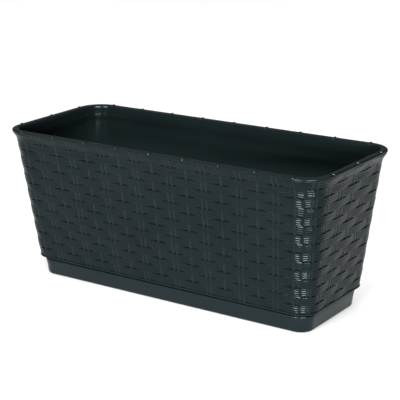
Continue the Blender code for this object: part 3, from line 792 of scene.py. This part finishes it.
def new_material(name):
    made = bpy.data.materials.new(name)
    made.use_nodes = True
    nodes = made.node_tree.nodes
    links = made.node_tree.links
    shader = nodes["Principled BSDF"]
    place = nodes.new("ShaderNodeTexCoord").outputs["Object"]
    return made, nodes, links, shader, place


def noise(nodes, links, place, scale, detail=3.0, stretch=None):
    source = place
    if stretch:
        mapping = nodes.new("ShaderNodeMapping")
        mapping.inputs["Scale"].default_value = stretch
        links.new(place, mapping.inputs["Vector"])
        source = mapping.outputs["Vector"]
    texture = nodes.new("ShaderNodeTexNoise")
    texture.inputs["Scale"].default_value = scale
    texture.inputs["Detail"].default_value = detail
    links.new(source, texture.inputs["Vector"])
    return texture.outputs["Fac"]


def colour_ramp(nodes, links, source, low, high, start=0.3, end=0.7):
    ramp = nodes.new("ShaderNodeValToRGB")
    ramp.color_ramp.elements[0].position = start
    ramp.color_ramp.elements[0].color = (*low, 1)
    ramp.color_ramp.elements[1].position = end
    ramp.color_ramp.elements[1].color = (*high, 1)
    links.new(source, ramp.inputs["Fac"])
    return ramp.outputs["Color"]


def spread(nodes, links, source, low, high):
    change = nodes.new("ShaderNodeMapRange")
    change.inputs["To Min"].default_value = low
    change.inputs["To Max"].default_value = high
    links.new(source, change.inputs["Value"])
    return change.outputs["Result"]


def bump(nodes, links, source, strength, distance):
    raised = nodes.new("ShaderNodeBump")
    raised.inputs["Strength"].default_value = strength
    raised.inputs["Distance"].default_value = distance
    links.new(source, raised.inputs["Height"])
    return raised.outputs["Normal"]


def mould_finish(nodes, links, shader, place, level, grain):
    """Fine mould grain and the gloss of a dark plastic."""
    fine = noise(nodes, links, place, 1400.0, 2.0)
    links.new(bump(nodes, links, fine, grain, 0.00004), shader.inputs["Normal"])
    shader.inputs["Specular IOR Level"].default_value = level
    shader.inputs["Specular Tint"].default_value = PLASTIC_TINT


def moulded_plastic(name, dark, light, rough_low, rough_high, level, grain):
    """Moulded plastic: faint cloudy colour, uneven gloss and fine mould grain."""
    made, nodes, links, shader, place = new_material(name)
    cloud = noise(nodes, links, place, 14.0, 4.0)
    links.new(colour_ramp(nodes, links, cloud, dark, light), shader.inputs["Base Color"])
    smear = noise(nodes, links, place, 45.0, 5.0)
    links.new(spread(nodes, links, smear, rough_low, rough_high), shader.inputs["Roughness"])
    mould_finish(nodes, links, shader, place, level, grain)
    return made


def make_materials():
    found = {}
    found["woven"] = moulded_plastic(
        "wicker_plastic", (0.0017, 0.0030, 0.0034), (0.0024, 0.0038, 0.0042), 0.12, 0.16, 0.055, 0.04
    )
    # The stakes use the weave's own plastic with a lighter base colour: painted light, for the rods catching
    # more light than the strips.
    found["stake"] = moulded_plastic(
        "stake_painted_light", (0.0026, 0.0043, 0.0047), (0.0033, 0.0051, 0.0056), 0.15, 0.21, 0.07, 0.04
    )
    # Near-black plastic for the shell behind the weave: painted shade in the gaps between the strips.
    found["gap"] = moulded_plastic(
        "painted_shade_plastic", (0.0003, 0.0006, 0.0007), (0.0005, 0.0009, 0.0010), 0.30, 0.40, 0.05, 0.04
    )
    found["skin"] = moulded_plastic(
        "box_plastic", (0.0016, 0.0036, 0.0041), (0.0022, 0.0044, 0.0049), 0.12, 0.17, 0.08, 0.04
    )
    # The lining carries painted shade near the lip and painted light lower down.
    found["lining"] = painted_light_and_shade_lining()
    found["tray"] = moulded_plastic(
        "tray_plastic", (0.0013, 0.0026, 0.0031), (0.0017, 0.0032, 0.0037), 0.14, 0.19, 0.19, 0.05
    )
    found["inner"] = moulded_plastic(
        "inner_plastic", (0.0075, 0.0090, 0.0095), (0.0120, 0.0138, 0.0143), 0.38, 0.52, 0.22, 0.35
    )
    found["cap"] = moulded_plastic(
        "cap_plastic", (0.0300, 0.0350, 0.0375), (0.0400, 0.0460, 0.0485), 0.32, 0.44, 0.28, 0.3
    )
    found["white"] = moulded_plastic(
        "float_plastic", (0.52, 0.52, 0.50), (0.60, 0.60, 0.58), 0.38, 0.50, 0.5, 0.3
    )
    found["red"] = moulded_plastic(
        "flag_plastic", (0.34, 0.012, 0.009), (0.42, 0.018, 0.013), 0.28, 0.38, 0.5, 0.2
    )
    found["rubber"] = moulded_plastic(
        "plug_rubber", (0.012, 0.012, 0.013), (0.022, 0.022, 0.023), 0.62, 0.80, 0.3, 0.6
    )
    found["fibre"] = fibre_material()
    found["steel"] = steel_material()
    found["clear"] = clear_material()
    found["floor"] = floor_material()
    return found


def painted_light_and_shade_lining():
    """The inside's plastic with painted shade and light: its colour set some fourteen times darker at the lip
    than 45 mm down.

    The real plastic is taken to be one colour: the dark near the lip is painted shade where the soft boxes
    light the inside, and the lighter colour lower down is painted light, standing in for the light lost under
    the lip.
    """
    made, nodes, links, shader, place = new_material("lining_painted_light_and_shade")
    split = nodes.new("ShaderNodeSeparateXYZ")
    links.new(place, split.inputs["Vector"])
    sink = nodes.new("ShaderNodeMapRange")
    sink.inputs["From Min"].default_value = TOP - 0.012
    sink.inputs["From Max"].default_value = TOP - 0.045
    links.new(split.outputs["Z"], sink.inputs["Value"])
    cloud = noise(nodes, links, place, 14.0, 4.0)
    curve = nodes.new("ShaderNodeMath")
    curve.operation = "POWER"
    curve.inputs[1].default_value = 2.0
    links.new(sink.outputs["Result"], curve.inputs[0])
    mixed = nodes.new("ShaderNodeMath")
    mixed.operation = "MULTIPLY_ADD"
    mixed.inputs[1].default_value = 0.08
    links.new(cloud, mixed.inputs[0])
    links.new(curve.outputs["Value"], mixed.inputs[2])
    shallow = (0.0026, 0.0043, 0.0046)
    deep = (0.0375, 0.0620, 0.0655)
    colour = colour_ramp(nodes, links, mixed.outputs["Value"], shallow, deep, 0.04, 1.04)
    links.new(colour, shader.inputs["Base Color"])
    links.new(spread(nodes, links, cloud, 0.12, 0.17), shader.inputs["Roughness"])
    mould_finish(nodes, links, shader, place, 0.13, 0.04)
    return made


def fibre_material():
    made, nodes, links, shader, place = new_material("wick_fibre")
    strands = noise(nodes, links, place, 900.0, 6.0, (1.0, 1.0, 0.25))
    colour = colour_ramp(nodes, links, strands, (0.36, 0.34, 0.29), (0.62, 0.60, 0.55))
    links.new(colour, shader.inputs["Base Color"])
    links.new(spread(nodes, links, strands, 0.85, 1.0), shader.inputs["Roughness"])
    links.new(bump(nodes, links, strands, 0.9, 0.0004), shader.inputs["Normal"])
    shader.inputs["Sheen Weight"].default_value = 0.4
    shader.inputs["Sheen Roughness"].default_value = 0.5
    return made


def steel_material():
    made, nodes, links, shader, place = new_material("pin_steel")
    lines = noise(nodes, links, place, 1500.0, 3.0, (1.0, 0.1, 1.0))
    colour = colour_ramp(nodes, links, lines, (0.48, 0.48, 0.49), (0.66, 0.66, 0.67))
    links.new(colour, shader.inputs["Base Color"])
    links.new(spread(nodes, links, lines, 0.22, 0.38), shader.inputs["Roughness"])
    links.new(bump(nodes, links, lines, 0.2, 0.00003), shader.inputs["Normal"])
    shader.inputs["Metallic"].default_value = 1.0
    return made


def clear_material():
    made, nodes, links, shader, place = new_material("window_plastic")
    haze = noise(nodes, links, place, 120.0, 3.0)
    links.new(spread(nodes, links, haze, 0.03, 0.09), shader.inputs["Roughness"])
    colour = colour_ramp(nodes, links, haze, (0.90, 0.94, 0.94), (0.96, 0.98, 0.98))
    links.new(colour, shader.inputs["Base Color"])
    shader.inputs["Transmission Weight"].default_value = 1.0
    shader.inputs["IOR"].default_value = 1.45
    return made


def floor_material():
    made, nodes, links, shader, place = new_material("studio_floor")
    cloud = noise(nodes, links, place, 3.0, 2.0)
    colour = colour_ramp(nodes, links, cloud, (0.90, 0.90, 0.90), (0.92, 0.92, 0.92))
    links.new(colour, shader.inputs["Base Color"])
    links.new(spread(nodes, links, cloud, 0.75, 0.85), shader.inputs["Roughness"])
    shader.inputs["Specular IOR Level"].default_value = 0.1
    return made


def dress(piece, finish):
    piece.data.materials.clear()
    piece.data.materials.append(finish)


def finish_shell(shell, behind, lining):
    """Gives the shell painted shade behind the weave, a near-black plastic where little light comes in, and
    its lining.
    """
    shell.data.materials.append(behind)
    shell.data.materials.append(lining)
    for face in shell.data.polygons:
        outward = face.normal.x * face.center.x + face.normal.y * face.center.y > 0
        # Outer faces behind the weave take the near-black plastic: painted shade.
        if outward and HEM + 0.0020 < face.center.z < TOP - LIP_THICK:
            face.material_index = 1
        elif not outward and FLOOR_UNDER < face.center.z < TOP - 0.0030:
            face.material_index = 2


# Studio


def make_camera():
    back = Vector((
        math.sin(VIEW_TURN) * math.cos(VIEW_RISE),
        -math.cos(VIEW_TURN) * math.cos(VIEW_RISE),
        math.sin(VIEW_RISE),
    ))
    right = Vector((math.cos(VIEW_TURN), math.sin(VIEW_TURN), 0))
    up = back.cross(right)
    side = right * math.cos(VIEW_ROLL) + up * math.sin(VIEW_ROLL)
    over = up * math.cos(VIEW_ROLL) - right * math.sin(VIEW_ROLL)
    data = bpy.data.cameras.new("camera")
    data.lens = LENS
    data.sensor_width = 36
    camera = bpy.data.objects.new("camera", data)
    turn = Matrix((side, over, back)).transposed().to_4x4()
    camera.matrix_world = Matrix.Translation(AIM + back * VIEW_DISTANCE) @ turn
    bpy.context.scene.collection.objects.link(camera)
    bpy.context.scene.camera = camera


def add_softbox(name, place, size, radiance):
    """A soft box standing at a place round the planter and facing it."""
    data = bpy.data.lights.new(name, "AREA")
    data.shape = "RECTANGLE"
    data.size = size[0]
    data.size_y = size[1]
    data.energy = radiance * math.pi * size[0] * size[1]
    light = bpy.data.objects.new(name, data)
    light.location = place
    light.rotation_euler = Vector((place[0], place[1], 0)).to_track_quat("Z", "Y").to_euler()
    bpy.context.scene.collection.objects.link(light)


def add_overhead(strength, spread_degrees):
    """A wide soft light from straight above."""
    data = bpy.data.lights.new("overhead", "SUN")
    data.energy = strength
    data.angle = math.radians(spread_degrees)
    light = bpy.data.objects.new("overhead", data)
    bpy.context.scene.collection.objects.link(light)


def make_studio(finish):
    clear_selection()
    bpy.ops.mesh.primitive_plane_add(size=12)
    floor = bpy.context.object
    floor.name = "studio_floor"
    dress(floor, finish)
    world = bpy.data.worlds.new("studio")
    world.use_nodes = True
    world.node_tree.nodes["Background"].inputs["Color"].default_value = (1, 1, 1, 1)
    world.node_tree.nodes["Background"].inputs["Strength"].default_value = WORLD_LIGHT
    bpy.context.scene.world = world
    bpy.context.scene.view_settings.view_transform = "Standard"
    add_overhead(SUN_STRENGTH, SUN_SPREAD)
    add_softbox("left_softbox", (-0.32, -4.03, 0.44), (1.85, 0.88), SOFTBOX_RADIANCE)
    add_softbox("right_softbox", (2.95, -2.94, 0.44), (2.60, 0.88), SOFTBOX_RADIANCE)


def add(piece, body, finish, nodes=()):
    dress(piece, finish)
    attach(piece, body)
    if nodes:
        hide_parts(*nodes)


def main():
    make_camera()
    found = make_materials()
    make_studio(found["floor"])

    shell = make_box_shell()
    add(shell, "box", found["skin"], ["planter_box"])
    finish_shell(shell, found["gap"], found["lining"])
    for band in range(BANDS):
        add(make_band(band), "box", found["woven"])
    for rods in make_rods():
        add(rods, "box", found["stake"])
    add(make_lip_ridges(), "box", found["skin"])
    add(make_tray(), "tray", found["tray"], ["water_tray"])
    add(make_plug(), "plug", found["rubber"], ["drain_plug"])

    first = make_cup(1)
    start = centre_of("wick_cup_1")
    for index in range(1, 5):
        shift = centre_of(f"wick_cup_{index}") - start
        cup = copy_of(first, f"soil_cup_{index}", shift)
        add(cup, "platform", found["inner"], [f"wick_cup_{index}"])
        add(make_wick(index), "platform", found["fibre"], [f"wick_{index}"])
    bpy.data.objects.remove(first, do_unlink=True)
    for name, node in (("filler_pipe", "filler_tube"), ("gauge_pipe", "gauge_tube")):
        add(make_tube(name, node), "platform", found["inner"], [node])
    add(make_funnel(), "platform", found["inner"], ["filler_funnel"])
    add(make_cap(), "cap", found["cap"], ["filler_cap"])
    add(make_pin(), "platform", found["steel"], ["filler_cap_pin"])
    add(make_window(), "platform", found["clear"], ["gauge_window"])
    float_body = rounded_rod("float", "gauge_float", 0.0068, 0.0020)
    add(float_body, "float", found["white"], ["gauge_float"])
    add(make_stem(), "float", found["white"], ["gauge_stem"])
    flag = rounded_rod("flag", "gauge_flag", 0.0050, 0.0010)
    add(flag, "float", found["red"], ["gauge_flag"])
    dress(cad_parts["soil_platform"], found["inner"])


main()
